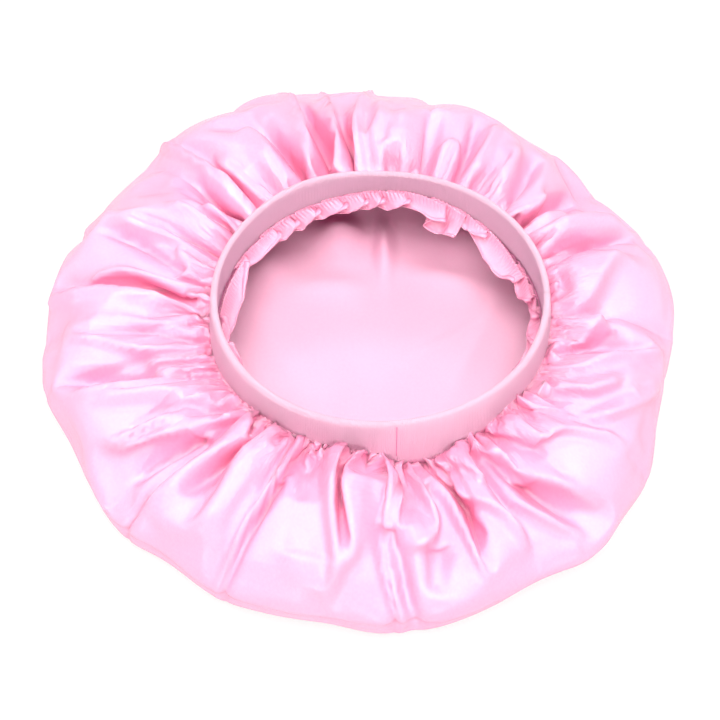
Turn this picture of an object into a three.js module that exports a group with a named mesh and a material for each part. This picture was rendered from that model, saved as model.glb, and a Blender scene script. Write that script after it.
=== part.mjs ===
// Hair bonnet: one circle of satin gathered on to a wide knitted elastic band.
// It lies on its crown with its mouth up. Millimetres, +Z up. The origin is on the surface
// under the crown, straight below the middle of the band.
import * as THREE from "three";

const TURN = 2 * Math.PI;

// Band, measured round the outside of its rim. A loose band lies as an oval.
const BAND_WIDTH = 172;
const BAND_DEPTH = 157;
const BAND_HEIGHT = 28;
const BAND_LEAN = 2; // how much further out the sewn edge stands than the rim
const BAND_COLUMNS = 84;
const SEAM_HEIGHT = 35; // the band's sewn edge above the surface
const JOIN_TURN_SHARE = 0.764; // where the band's ends meet, as a share of a turn from +X

// Knit cover of the band: a strip folded over the elastic, with its fold at the rim
const COVER_WALL = 0.9;
const RIM_FLAT = 1.2; // level part on top of the fold
const RIM_STEPS = 3;
const GROOVE_WIDTH = 1.2; // dent that the join's thread pulls into the cover
const GROOVE_DEPTH = 0.45;

// Elastic inside the cover
const ELASTIC_THICKNESS = 1.1;
const ELASTIC_HEIGHT = 23;
const ELASTIC_CLEARANCE = 0.3;

// Satin cap
const CAP_RADIUS = 165;
const CAP_WALL = 1;
const SEAM_CLEARANCE = 0.3;
const NOSE_RADIUS = 12; // roll of the cloth where it turns back under itself
const GATHER_RISE = 9; // how far the cloth stands up between the seam and the nose
const FOLD_DEPTH = 9;
const COLUMNS_PER_FOLD = 3;
const PUFF_SHARE = 0.16; // rise of the cloth between two creases, as a share of their distance
const CREASE_START_SHARE = 0.3; // way out at which a crease has its full depth
const CREASE_REST_SHARE = 0.3; // depth that a crease keeps where it runs over the nose
const SLOPE_SHARES = [0.16, 0.45, 0.78]; // rows of the cloth between the seam and the nose
const NOSE_DEGREES = [35, 85, 130, 180]; // rows round the nose, from straight up to straight down

// Outline of the cap from above, at even steps from +X, as shares of CAP_RADIUS
const OUTLINE_SHARES = [
  0.924, 0.961, 0.958, 0.955, 0.976, 1.045, 1.079, 1.121, 1.109, 1.079, 1.076, 1.094,
  1.073, 1.061, 1.024, 1.006, 1.003, 0.976, 0.997, 0.958, 0.936, 0.964, 0.945, 0.912,
];

// Main creases. Each has its turn at the band and at the nose, as shares of a turn from +X,
// its depth as a share of FOLD_DEPTH, and the share of the way out where it dies away.
const CREASE_SHARES = [
  [0.003, 0.0, 0.8, 0.7],
  [0.054, 0.065, 1.2, 1.1],
  [0.104, 0.112, 1.4, 1.1],
  [0.133, 0.146, 1.0, 0.9],
  [0.179, 0.186, 0.9, 0.8],
  [0.213, 0.219, 0.9, 0.6],
  [0.27, 0.27, 1.4, 1.1],
  [0.296, 0.29, 1.4, 1.1],
  [0.321, 0.327, 1.2, 0.7],
  [0.367, 0.367, 1.2, 1.1],
  [0.393, 0.384, 1.3, 0.9],
  [0.449, 0.438, 0.8, 0.8],
  [0.48, 0.474, 1.1, 1.1],
  [0.519, 0.507, 0.8, 0.9],
  [0.552, 0.53, 1.0, 1.1],
  [0.617, 0.6, 1.3, 1.1],
  [0.638, 0.621, 1.2, 1.1],
  [0.683, 0.67, 1.0, 1.1],
  [0.752, 0.762, 1.3, 1.1],
  [0.8, 0.806, 1.0, 0.9],
  [0.836, 0.86, 1.2, 1.1],
  [0.897, 0.914, 0.9, 0.9],
  [0.962, 0.974, 1.0, 0.9],
];

// Edge of the satin, turned in below the band and gathered with the rest
const HEM_LENGTH = 15;
const HEM_WALL = 1;
const HEM_DEGREES = 48; // below level
const HEM_ROW_SHARES = [0, 0.5, 1];
const RUFFLE_COUNT = 38;
const RUFFLE_DEPTH = 2.4;
const COLUMNS_PER_RUFFLE = 4;

// Sewing thread
const THREAD_DIAMETER = 0.5;
const THREAD_SIDES = 6;
const THREAD_CLEARANCE = 0.3;
const STITCH_LENGTH = 5.5;
const STITCH_HEIGHT = 2.6;
const STITCH_MARGIN = 1.2; // from a sewn edge to the first stitch
const JOIN_STITCH_LENGTH = 3;

// Colours
const SATIN_PINK = 0xfdd0ea;
const KNIT_PINK = 0xf8b9da;
const ELASTIC_CREAM = 0xf3e6dc;
const THREAD_PINK = 0xe992be;

// Sizes that follow from the ones above
const BAND_THICKNESS = 2 * (COVER_WALL + ELASTIC_CLEARANCE) + ELASTIC_THICKNESS;
const RIM_HEIGHT = SEAM_HEIGHT + BAND_HEIGHT;
const RIM_FOLD = (BAND_THICKNESS - RIM_FLAT) / 2;
const LANDING_HEIGHT = SEAM_HEIGHT - SEAM_CLEARANCE;
const JOIN_TURN = JOIN_TURN_SHARE * TURN;

// A point at a height, standing off the band's outer oval
function bandPoint(turn, off, height) {
  const halfWidth = BAND_WIDTH / 2;
  const halfDepth = BAND_DEPTH / 2;
  const on = new THREE.Vector3(halfWidth * Math.cos(turn), halfDepth * Math.sin(turn), height);
  const outward = new THREE.Vector3(halfDepth * Math.cos(turn), halfWidth * Math.sin(turn), 0);
  return on.addScaledVector(outward.normalize(), off);
}

// Where the band's outside stands at a height: out by BAND_LEAN at the seam, by nothing at the rim
function outsideAt(height) {
  return (BAND_LEAN * (RIM_HEIGHT - height)) / BAND_HEIGHT;
}

// Joins rows of points into one closed surface. Each row closes on itself. The last row joins the
// first, or where ends are given, the first and the last row each close to a point.
function closedSurface(rows, ends) {
  const count = rows[0].length;
  const points = rows.flat();
  const faces = [];
  const at = (row, column) => (row % rows.length) * count + (column % count);
  const bands = ends ? rows.length - 1 : rows.length;
  for (let row = 0; row < bands; row++) {
    for (let column = 0; column < count; column++) {
      const near = [at(row, column), at(row, column + 1)];
      const far = [at(row + 1, column), at(row + 1, column + 1)];
      faces.push(near[0], far[0], far[1], near[0], far[1], near[1]);
    }
  }
  if (ends) {
    const first = points.push(...ends) - ends.length;
    for (let column = 0; column < count; column++) {
      faces.push(first, at(0, column), at(0, column + 1));
      faces.push(first + 1, at(bands, column + 1), at(bands, column));
    }
  }
  const geometry = new THREE.BufferGeometry().setFromPoints(points);
  geometry.setIndex(faces);
  geometry.computeVertexNormals();
  return geometry;
}

function centreOf(points) {
  const sum = points.reduce((total, point) => total.add(point), new THREE.Vector3());
  return sum.divideScalar(points.length);
}

// Places a section, given as [off, height] corners, round the band at a turn
function placeSection(turn, corners) {
  return corners.map(([off, height]) => bandPoint(turn, off, height));
}

function evenTurns(count, start = 0, sweep = TURN) {
  return Array.from({ length: count }, (_, i) => start + (sweep * i) / count);
}

// Turn that covers a length along the band where its ends meet
function joinTurn(length) {
  return length / (BAND_WIDTH / 2);
}

// Section of the cover: up the outside, over the fold, down the inside, and round the pocket
function coverSection(groove) {
  const foldBase = RIM_HEIGHT - RIM_FOLD;
  const outside = [[BAND_LEAN - groove, SEAM_HEIGHT], [outsideAt(foldBase) - groove, foldBase]];
  const inside = [
    [outsideAt(foldBase) - BAND_THICKNESS, foldBase],
    [BAND_LEAN - BAND_THICKNESS, SEAM_HEIGHT],
  ];
  for (let step = 1; step <= RIM_STEPS; step++) {
    const angle = ((step / RIM_STEPS) * Math.PI) / 2;
    const inset = RIM_FOLD * (1 - Math.cos(angle));
    const height = foldBase + RIM_FOLD * Math.sin(angle);
    outside.push([outsideAt(height) - inset, height]);
    inside.unshift([outsideAt(height) - BAND_THICKNESS + inset, height]);
  }
  const pocket = [
    [BAND_LEAN - BAND_THICKNESS + COVER_WALL, SEAM_HEIGHT],
    [outsideAt(foldBase) - BAND_THICKNESS + COVER_WALL, foldBase],
    [outsideAt(foldBase) - COVER_WALL, foldBase],
    [BAND_LEAN - COVER_WALL, SEAM_HEIGHT],
  ];
  return [...outside, ...inside, ...pocket];
}

// The cover is one loop, with a groove where its ends are sewn together
function coverGeometry() {
  const half = joinTurn(GROOVE_WIDTH / 2);
  const clear = joinTurn(GROOVE_WIDTH) + TURN / BAND_COLUMNS / 2;
  const sections = evenTurns(BAND_COLUMNS)
    .filter((turn) => Math.abs(turn - JOIN_TURN) > clear)
    .map((turn) => ({ turn, groove: 0 }));
  sections.push(
    { turn: JOIN_TURN - 2 * half, groove: 0 },
    { turn: JOIN_TURN - half, groove: GROOVE_DEPTH },
    { turn: JOIN_TURN + half, groove: GROOVE_DEPTH },
    { turn: JOIN_TURN + 2 * half, groove: 0 },
  );
  sections.sort((a, b) => a.turn - b.turn);
  return closedSurface(sections.map(({ turn, groove }) => placeSection(turn, coverSection(groove))));
}

// The elastic is a flat strip, bent round in the pocket until its ends nearly meet
function elasticGeometry() {
  const low = SEAM_HEIGHT + ELASTIC_CLEARANCE;
  const high = low + Math.min(ELASTIC_HEIGHT, BAND_HEIGHT - RIM_FOLD - 2 * ELASTIC_CLEARANCE);
  const inset = COVER_WALL + ELASTIC_CLEARANCE;
  const section = [
    [outsideAt(low) - inset, low],
    [outsideAt(high) - inset, high],
    [outsideAt(high) - inset - ELASTIC_THICKNESS, high],
    [outsideAt(low) - inset - ELASTIC_THICKNESS, low],
  ];
  const gap = joinTurn(THREAD_DIAMETER / 2 + THREAD_CLEARANCE);
  const start = JOIN_TURN + gap;
  const turns = [...evenTurns(BAND_COLUMNS, start, TURN - 2 * gap), JOIN_TURN + TURN - gap];
  const rows = turns.map((turn) => placeSection(turn, section));
  return closedSurface(rows, [centreOf(rows[0]), centreOf(rows[rows.length - 1])]);
}

// Smooth reading of a table whose values stand at even steps round a turn
function readRound(table, turnShare) {
  const place = (turnShare - Math.floor(turnShare)) * table.length;
  const i = Math.floor(place);
  const around = [i - 1, i, i + 1, i + 2].map((k) => table[(k + table.length) % table.length]);
  const points = around.map((value) => new THREE.Vector2(value, 0));
  return new THREE.SplineCurve(points).getPoint((place - i + 1) / 3).x;
}

// One column of the cap. The first of each fold runs down a crease, the others over the puff.
function capColumn(index) {
  const fold = Math.floor(index / COLUMNS_PER_FOLD);
  const part = (index % COLUMNS_PER_FOLD) / COLUMNS_PER_FOLD;
  const isLast = fold + 1 === CREASE_SHARES.length;
  const [bandShare, noseShare, depthShare, reachShare] = CREASE_SHARES[fold];
  const [nextBandShare, nextNoseShare] = CREASE_SHARES[isLast ? 0 : fold + 1];
  const past = isLast ? 1 : 0;
  return {
    bandTurn: TURN * THREE.MathUtils.lerp(bandShare, nextBandShare + past, part),
    noseTurn: TURN * THREE.MathUtils.lerp(noseShare, nextNoseShare + past, part),
    foldTurn: TURN * (nextBandShare + past - bandShare),
    isCrease: part === 0,
    depth: FOLD_DEPTH * depthShare,
    reachShare,
  };
}

// The cloth's mean profile: rows from beside the seam, over the slope, round the nose and under
function capProfile() {
  const noseTop = NOSE_RADIUS * (1 + Math.cos(THREE.MathUtils.degToRad(NOSE_DEGREES[0])));
  const slope = SLOPE_SHARES.map((out) => ({
    out,
    inset: 0,
    height: THREE.MathUtils.lerp(SEAM_HEIGHT, noseTop, out ** 2) + GATHER_RISE * Math.sin(Math.PI * out),
  }));
  const nose = NOSE_DEGREES.map((degrees) => ({
    out: 1,
    inset: NOSE_RADIUS * (1 - Math.sin(THREE.MathUtils.degToRad(degrees))),
    height: NOSE_RADIUS * (1 + Math.cos(THREE.MathUtils.degToRad(degrees))),
  }));
  return [...slope, ...nose];
}

// How far a column sinks below the mean profile. Between creases it stands up, as less than zero.
function creaseAt(column, out, radius) {
  const start = Math.min(1, out / CREASE_START_SHARE);
  if (!column.isCrease) return -PUFF_SHARE * column.foldTurn * radius * start * (1 - out ** 2);
  const rest = column.reachShare > 1 ? CREASE_REST_SHARE : 0;
  return column.depth * start * Math.max(rest, 1 - out / column.reachShare);
}

// A point of the cap's outside. A crease sinks on the slope and draws in on the nose.
function capPoint(column, { out, inset, height }) {
  const turn = THREE.MathUtils.lerp(column.bandTurn, column.noseTurn, out);
  const radius = CAP_RADIUS * readRound(OUTLINE_SHARES, turn / TURN) - inset;
  const outward = new THREE.Vector3(Math.cos(turn), Math.sin(turn), 0);
  const point = bandPoint(column.bandTurn, BAND_LEAN, 0).lerp(outward.clone().multiplyScalar(radius), out);
  const isUnder = height < NOSE_RADIUS;
  const crease = isUnder ? 0 : creaseAt(column, out, radius);
  const drawn = out === 1 ? crease : 0;
  point.addScaledVector(outward, -drawn);
  point.z = height - (crease - drawn);
  return point;
}

// The cap's inside, one wall in from its outside
function insideOf(rows) {
  const bottom = rows.length - 1;
  return rows.map((row, r) =>
    row.map((point, c) => {
      if (r === bottom) return point.clone().setZ(CAP_WALL);
      const before = row[(c + row.length - 1) % row.length];
      const after = row[(c + 1) % row.length];
      const along = after.clone().sub(before);
      const down = rows[r + 1][c].clone().sub(rows[Math.max(0, r - 1)][c]);
      return point.clone().addScaledVector(down.cross(along).normalize(), -CAP_WALL);
    }),
  );
}

// From the middle of the crown out through the inside, up to the seam, and back over the outside
function capGeometry() {
  const count = CREASE_SHARES.length * COLUMNS_PER_FOLD;
  const columns = Array.from({ length: count }, (_, i) => capColumn(i));
  const ring = (off, height) => columns.map(({ bandTurn }) => bandPoint(bandTurn, off, height));
  const outside = capProfile().map((row) => columns.map((column) => capPoint(column, row)));
  const rows = [
    ...insideOf(outside).reverse(),
    ring(BAND_LEAN, LANDING_HEIGHT - CAP_WALL),
    ring(BAND_LEAN - BAND_THICKNESS, LANDING_HEIGHT - CAP_WALL),
    ring(BAND_LEAN - BAND_THICKNESS, LANDING_HEIGHT),
    ring(BAND_LEAN, LANDING_HEIGHT),
    ...outside,
  ];
  return closedSurface(rows, [new THREE.Vector3(0, 0, CAP_WALL), new THREE.Vector3()]);
}

// The turned-in edge hangs from under the seam, inwards and down, and waves more towards its end
function hemGeometry() {
  const degrees = THREE.MathUtils.degToRad(HEM_DEGREES);
  const along = new THREE.Vector2(-Math.cos(degrees), -Math.sin(degrees));
  const up = new THREE.Vector2(along.y, -along.x);
  const start = new THREE.Vector2(BAND_LEAN - BAND_THICKNESS, LANDING_HEIGHT - CAP_WALL - SEAM_CLEARANCE);
  const sections = evenTurns(RUFFLE_COUNT * COLUMNS_PER_RUFFLE).map((turn) => {
    const wave = RUFFLE_DEPTH * Math.sin(RUFFLE_COUNT * turn);
    const face = HEM_ROW_SHARES.map((share) =>
      start.clone().addScaledVector(along, share * HEM_LENGTH).addScaledVector(up, share * wave),
    );
    const back = face.map((point) => point.clone().addScaledVector(up, -HEM_WALL)).reverse();
    return placeSection(turn, [...face, ...back].map((point) => [point.x, point.y]));
  });
  return closedSurface(sections);
}

// The zigzag that sews the satin on, inside the band just above its sewn edge
function seamThreadGeometry() {
  const girth = (Math.PI * (BAND_WIDTH + BAND_DEPTH)) / 2;
  const radius = THREAD_DIAMETER / 2;
  const sections = evenTurns(2 * Math.round(girth / STITCH_LENGTH)).map((turn, i) => {
    const height = SEAM_HEIGHT + STITCH_MARGIN + (i % 2) * STITCH_HEIGHT;
    const off = outsideAt(height) - BAND_THICKNESS - THREAD_CLEARANCE - radius;
    const corners = evenTurns(THREAD_SIDES).map((angle) => [
      off + radius * Math.cos(angle),
      height + radius * Math.sin(angle),
    ]);
    return placeSection(turn, corners);
  });
  return closedSurface(sections);
}

// A thread that runs up the band's join, in and out by a sway at each stitch
function joinThreadGeometry(low, high, insetFrom, sway) {
  const count = 2 * Math.round((high - low) / JOIN_STITCH_LENGTH);
  const points = Array.from({ length: count + 1 }, (_, i) => {
    const height = THREE.MathUtils.lerp(low, high, i / count);
    return bandPoint(JOIN_TURN, outsideAt(height) - insetFrom + (i % 2) * sway, height);
  });
  const section = new THREE.Shape().absarc(0, 0, THREAD_DIAMETER / 2, 0, TURN);
  return new THREE.ExtrudeGeometry(section, {
    extrudePath: new THREE.CatmullRomCurve3(points),
    steps: count,
    curveSegments: THREAD_SIDES / 2,
    bevelEnabled: false,
  });
}

function coverJoinThreadGeometry() {
  const inset = GROOVE_DEPTH - THREAD_CLEARANCE - THREAD_DIAMETER / 2;
  const low = SEAM_HEIGHT + STITCH_MARGIN;
  const high = RIM_HEIGHT - RIM_FOLD - STITCH_MARGIN;
  return joinThreadGeometry(low, high, inset, THREAD_CLEARANCE);
}

function elasticJoinThreadGeometry() {
  const inset = BAND_THICKNESS / 2 + ELASTIC_CLEARANCE / 2;
  const low = SEAM_HEIGHT + ELASTIC_CLEARANCE + STITCH_MARGIN;
  const high = SEAM_HEIGHT + ELASTIC_HEIGHT - STITCH_MARGIN;
  return joinThreadGeometry(low, high, inset, ELASTIC_CLEARANCE);
}

function piece(name, geometry, color, roughness) {
  const mesh = new THREE.Mesh(geometry, new THREE.MeshStandardMaterial({ color, roughness, metalness: 0 }));
  mesh.name = name;
  return mesh;
}

const bonnet = new THREE.Group();
bonnet.add(
  piece("satin_cap", capGeometry(), SATIN_PINK, 0.35),
  piece("turned_hem", hemGeometry(), SATIN_PINK, 0.35),
  piece("band_cover", coverGeometry(), KNIT_PINK, 0.85),
  piece("elastic_core", elasticGeometry(), ELASTIC_CREAM, 0.85),
  piece("seam_thread", seamThreadGeometry(), THREAD_PINK, 0.6),
  piece("cover_join_thread", coverJoinThreadGeometry(), THREAD_PINK, 0.6),
  piece("elastic_join_thread", elasticJoinThreadGeometry(), THREAD_PINK, 0.6),
);

export default bonnet;
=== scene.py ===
"""A satin hair bonnet lying on its crown, with its wide knitted band and its mouth up.

Metres, +Z up. The threads and the elastic are the frame's own; the satin and the knit are made here.
"""
import math

import bpy
import numpy as np
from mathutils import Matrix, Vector


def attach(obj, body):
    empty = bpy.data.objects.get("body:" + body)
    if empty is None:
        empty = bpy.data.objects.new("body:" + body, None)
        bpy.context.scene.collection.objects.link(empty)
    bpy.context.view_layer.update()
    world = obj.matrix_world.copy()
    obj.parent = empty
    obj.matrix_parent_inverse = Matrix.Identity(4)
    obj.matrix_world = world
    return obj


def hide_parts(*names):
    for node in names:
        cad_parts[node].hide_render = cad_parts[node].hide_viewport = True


MM = 0.001
TURN = 2 * math.pi

# Camera, as it stood for the photograph
VIEW_ELEVATION = math.radians(57)
VIEW_DISTANCE = 980 * MM
VIEW_AIM = Vector((-10.3, -13.1, 20)) * MM
VIEW_LENS = 93.97  # millimetres, as the film's width is
FILM_WIDTH = 36

# Band, measured round the outside of its rim. It leans out towards the seam, between two even heights.
BAND_HALF_WIDTH = 86 * MM
BAND_HALF_DEPTH = 78.5 * MM
BAND_LEAN = 2 * MM
BAND_THICKNESS = 3.5 * MM
SEAM_HEIGHT = 35 * MM
RIM_HEIGHT = 63 * MM
JOIN_TURN = 0.764 * TURN
BAND_COLUMNS = 960
WALL_ROWS = 9
RIM_STEPS = 10
WALL_BULGE = 0.35 * MM
KNIT_THICKNESS = 0.7 * MM
JOIN_DEPTH = 0.4 * MM  # of the groove where the ends of the cover are sewn together
JOIN_HALF_WIDTH = 0.7 * MM

# The band's edges as they lie, as (degrees, millimetres above the surface). The satin is gathered onto
# the outside at the sewn edge, goes round it, and is stitched to the inside at the stitch line.
RIM_HEIGHTS = (
    (0, 63.3), (20, 64.5), (50, 65), (75, 64), (90, 63.5), (105, 65.5), (120, 67), (135, 65.5),
    (150, 64), (165, 63), (185, 62), (210, 60.5), (240, 60.5), (265, 62), (285, 63), (340, 63),
)
SEAM_HEIGHTS = (
    (0, 39), (40, 39), (90, 40), (150, 39), (180, 36), (195, 34.5), (210, 37.5), (225, 40.5), (265, 40),
    (270, 36), (276, 28.5), (285, 29), (297, 34), (306, 36), (316, 43), (330, 41), (345, 40),
)
STITCH_HEIGHTS = (
    (0, 37), (15, 37), (30, 39), (45, 43.5), (60, 47.5), (75, 50.5), (90, 50), (105, 48), (120, 46.5),
    (135, 45), (150, 42.5), (165, 40), (180, 38), (200, 38), (225, 42), (262, 42), (275, 37), (300, 38),
    (330, 42),
)
BAND_OVERLAP = 2.2 * MM  # how far the cover reaches down over the line where the satin is sewn on
SEWN_EDGE_RISE = 2 * MM  # how far the satin goes on up inside the cover
SEWN_EDGE_DEPTH = 1.2 * MM  # how deep it lies in it
EDGE_EASE = math.radians(3)  # how far the corners of these tables are rounded
EDGE_EASE_STEPS = 9

# Free edge of the satin, which hangs inside the band from the stitch line in flat folds, each over the
# next. Each fold is (degrees where it starts, length in millimetres there and at its end, degrees below
# level, lean in millimetres, how round its corners are), clockwise from the left.
HEM_FOLDS = (
    (193, 7, 10, 45, 2, 0.6), (182, 15, 15, 33, -2, 0.5), (152, 10, 14, 42, 3, 0.3),
    (136, 12, 12, 50, 5, 0.2), (128, 12, 11, 48, 6, 0.2), (119, 11, 12, 50, 6, 0.2),
    (108, 12, 13, 47, 5, 0.25), (99.5, 12, 12, 50, 5, 0.2), (92.5, 13, 12, 48, 5, 0.25),
    (83, 9, 17, 42, 3, 0.15), (66.5, 21, 21, 52, -2, 0.08), (58, 10, 10, 42, 2, 0.3),
    (48, 15, 21, 33, -2, 0.45), (24, 13, 13, 48, 2, 0.4), (14, 8, 7, 55, 0, 0.4), (3, 11, 12, 38, 0, 0.65),
)
HEM_LAST_DEGREES = -11  # where the folds that the rim hides from the camera begin
HEM_HIDDEN_FOLDS = 14
HEM_HIDDEN_SEED = 5
HEM_HIDDEN_WIDTHS = (0.7, 1.3)  # the least and the most, before they are made to fill the way round
HEM_HIDDEN_LENGTHS = (9, 15)
HEM_HIDDEN_START_SHARE = 0.9  # of such a fold's length, how long it is where it starts
HEM_HIDDEN_ANGLE = 48
HEM_HIDDEN_LEANS = (-3, 7)
HEM_HIDDEN_ROUNDNESS = (0.1, 0.4)
# One fold's way: shares of its width, of the tuck behind the fold before it and of the lap over the next,
# lift in millimetres, and share of its length
FOLD_WAY = (
    (0, -1, 0, 0, 0.93), (0, -0.7, 0, -0.35, 0.95), (0, 0, 1, 0.1, 1), (0.3, 0, 0.6, 1.5, 1.02),
    (0.55, 0, 0.6, 2.9, 1.04), (0.8, 0, 0.6, 3.9, 1.04), (1, 0, 0.6, 4.4, 1.02), (1, 0, 1, 3.6, 1),
    (1, 0, 0.8, 2.4, 0.97), (1, 0, 0, 1.4, 0.9), (1, -0.5, 0, 0.8, 0.9), (1, -0.95, 0, 0.45, 0.93),
)
HEM_TUCK = 6 * MM
HEM_TUCK_SHARE = 0.55  # of the fold's width, at most
HEM_LAP = 3.5 * MM
HEM_LAP_SHARE = 0.3
HEM_CORNER_POWER = 3
HEM_STEP = 0.42 * MM  # along the cloth
HEM_SMOOTH_STEPS = 4  # to each side, over which the folds' corners are rounded
HEM_SMOOTH_WIDTH = 1.9
HEM_ROWS = 14
HEM_THICKNESS = 0.3 * MM
HEM_CLEARANCE = 0.5 * MM  # from the band's inner wall
HEM_START_ANGLE = math.radians(80)  # below level, at the stitches
HEM_BEND_POWER = 0.6
HEM_CURL = math.radians(75)  # of the free edge, towards the middle of the mouth
HEM_CURL_POWER = 7
HEM_LIFT_SHARE = 0.4  # of a fold's lift, at the stitches
HEM_LIFT_GROWTH_SHARE = 0.8  # what the free edge has more
HEM_GATHER = 0.5 * MM
HEM_GATHER_PITCH = 2.1 * MM
HEM_GATHER_DRIFT = 9  # radians
HEM_GATHER_UNEVENNESS = 0.8
HEM_GATHER_REACH_SHARE = 0.3
HEM_RIPPLE = 1.1 * MM  # the low uneven wave of each flap
HEM_RIPPLE_POWER = 0.8
HEM_RIPPLE_REACH_SHARE = 0.75
HEM_ANGLE_UNEVENNESS = 0.15  # radians
HEM_LENGTH_UNEVENNESS = 0.08
# Uneven waves round the free edge, as (how many of each there are in a turn, seed)
HEM_ANGLE_WAVES = (range(30, 60, 7), 2)
HEM_LENGTH_WAVES = (range(40, 90, 9), 4)
HEM_DRIFT_WAVES = (range(11, 40, 6), 3)
HEM_GATHER_WAVES = (range(60, 160, 13), 9)
HEM_RIPPLE_WAVES = (range(60, 170, 11), 8)

# Satin cap, cut as a circle
CUT_RADIUS = 285 * MM
NOSE_RADIUS = 12 * MM
NOSE_START = math.radians(30)  # from straight up, where the slope runs into the nose
SLOPE_BELLY = 9 * MM  # how far the slope bellies up between the seam and the nose
SLOPE_STEPS = 160
NOSE_STEPS = 60
CLOTH_THICKNESS = 0.3 * MM
COLUMNS = 480
TOP_ROWS = 43
# Rows of the crown, as shares of the way out to where it meets the nose
CROWN_SHARES = (
    0.85, 0.72, 0.63, 0.58, 0.54, 0.5, 0.47, 0.44, 0.41, 0.38, 0.35, 0.32, 0.29, 0.26, 0.22, 0.17, 0.11,
    0.05,
)
# Waves in the crown where it shows through the mouth: place of the middle in millimetres, half length and
# half width, degrees that the wave is turned, and height
CROWN_WAVES = (
    (-26, 47, 20, 7, 0, 4.5), (36, 52, 22, 7, -14, 4.5), (-22, 80, 13, 9, 0, 14),
    (46, 76, 20, 10, -25, 10), (3, 72, 18, 5, 92, 9), (-62, 58, 14, 9, 50, 7), (25, 4, 30, 3.2, 38, 1.8),
    (50, 6, 40, 6, 66, 2.4), (-20, -15, 45, 12, 15, 1.5), (-52, -2, 34, 7, -62, 2),
)
GATHERS = 98
GATHER_DEPTH = 2.2 * MM
GATHER_DRIFT = 12  # radians
GATHER_WAVES = (range(3, 9), 7)
GATHER_START_SHARE = 0.03
GATHER_REACH_SHARE = 0.12
NOSE_FADE_SHARES = (-0.08, 0.14)  # where the folds die away, from the nose, as shares of the rows
FOLD_STRENGTH = 1.15
FOLD_START_SHARE = 0.5  # of a fold's height, how much it has beside the seam
FOLD_FULL_SHARE = 0.35  # way out at which it has all of it
SEAM_HOLD_SHARE = 0.05  # way out over which the seam holds the folds down
NOSE_HOLD_START_SHARE = 0.72  # from here out the crests stand less and less proud of the outline
NOSE_HOLD_SHARE = 0.65
FOLD_FALL_SHARE = 0.15  # how much lower a fold is at its far end
FOLD_RISE_SHARE = 0.12  # of a fold's line, over which it rises at its start
FOLD_END_SHARE = 0.3  # and over which it dies away at its end
SEAM_FOLD_SHARE = 0.08  # a fold that starts nearer to the seam than this has no such rise
NOSE_FOLD_SHARE = 0.98  # one that ends further out than this has no such end
FOLD_LINE_POINTS = 40
FOLD_REACH_DEGREES = 26  # round the cap, from a fold's middle
TINY = 1e-12
WOBBLE_HEIGHTS = (0.4, 1)  # the least and the most of each wave in an uneven one

LAMP_COLOUR = (1, 0.97, 0.91)
WORLD_STRENGTH = 0.43  # as light; what the camera and the gloss see of it is white
# Share of the floor's look that is plain white; the rest is lit, and shows the shadow
FLOOR_GLOW_SHARE = 0.85
FLOOR_COLOUR = (0.85, 0.85, 0.85, 1)
FLOOR_ROUGHNESS = 0.9
FLOOR_SIZE = 6
# Lamps, as (name, place, size, watts). All face the middle of the surface.
LAMPS = (
    ("above", (0, -0.25, 1.6), 1.2, 30),
    ("front", (0, -2.3, 1.25), 0.6, 24),
    ("left", (-1.2, 0.2, 0.9), 0.3, 5),
    ("right", (1.2, 0.2, 0.9), 0.3, 5),
    ("back", (0.1, 1.2, 1.2), 0.3, 7),
)

# Finishes: two shades, threads, ribs or twists per metre, depth of the relief, and the shader's own values
SATIN_FINISH = {
    "shades": ((0.95, 0.4, 0.6), (0.92, 0.32, 0.54)), "density": 4000, "depth": 0.02 * MM,
    "values": {"Roughness": 0.15, "IOR": 1.7, "Specular IOR Level": 0.8},
}
WRONG_SIDE_FINISH = {
    "shades": ((1, 0.57, 0.77), (1, 0.51, 0.73)), "density": 4000, "depth": 0.04 * MM,
    "values": {"Roughness": 0.5, "Specular IOR Level": 0.3},
}
KNIT_FINISH = {
    "shades": ((1, 0.68, 0.88), (1, 0.61, 0.82)), "density": 1100, "depth": 0.2 * MM,
    "values": {"Roughness": 0.85, "Specular IOR Level": 0.2},
}
THREAD_FINISH = {"shades": ((0.85, 0.33, 0.57), (0.75, 0.22, 0.45)), "density": 3000}
ELASTIC_FINISH = {"shades": ((0.9, 0.79, 0.72), (0.85, 0.7, 0.62)), "density": 900}
TWIST_DEPTH = 0.1 * MM
TWIST_ROUGHNESS = 0.7

# Textures. A scale is about how many spots there are in a metre, a detail how many finer layers they have.
SHADE_SCALE = 14
BROAD_DETAIL = 2
FINE_DETAIL = 3
SLUB_SCALE = 700
SLUB_WEIGHT = 2
WAVER_SCALE = 90
RIB_WAVER = 3
RIB_WEIGHT = 0.5
SLANT_ACROSS = 1.6
SLANT_ALONG = 0.45
FUZZ_SCALE = 2500
KNIT_SHADE_SHARE = 0.25
# Fine folds in the satin's finish
RAY_VALUES = {"Rays": 48, "Stretch": 3.5, "Start Radius": 0.2, "Full Radius": 0.27}
RAY_DEPTH = 0.9 * MM
RAY_DETAIL = 1
RAY_GAIN = 4

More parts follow.
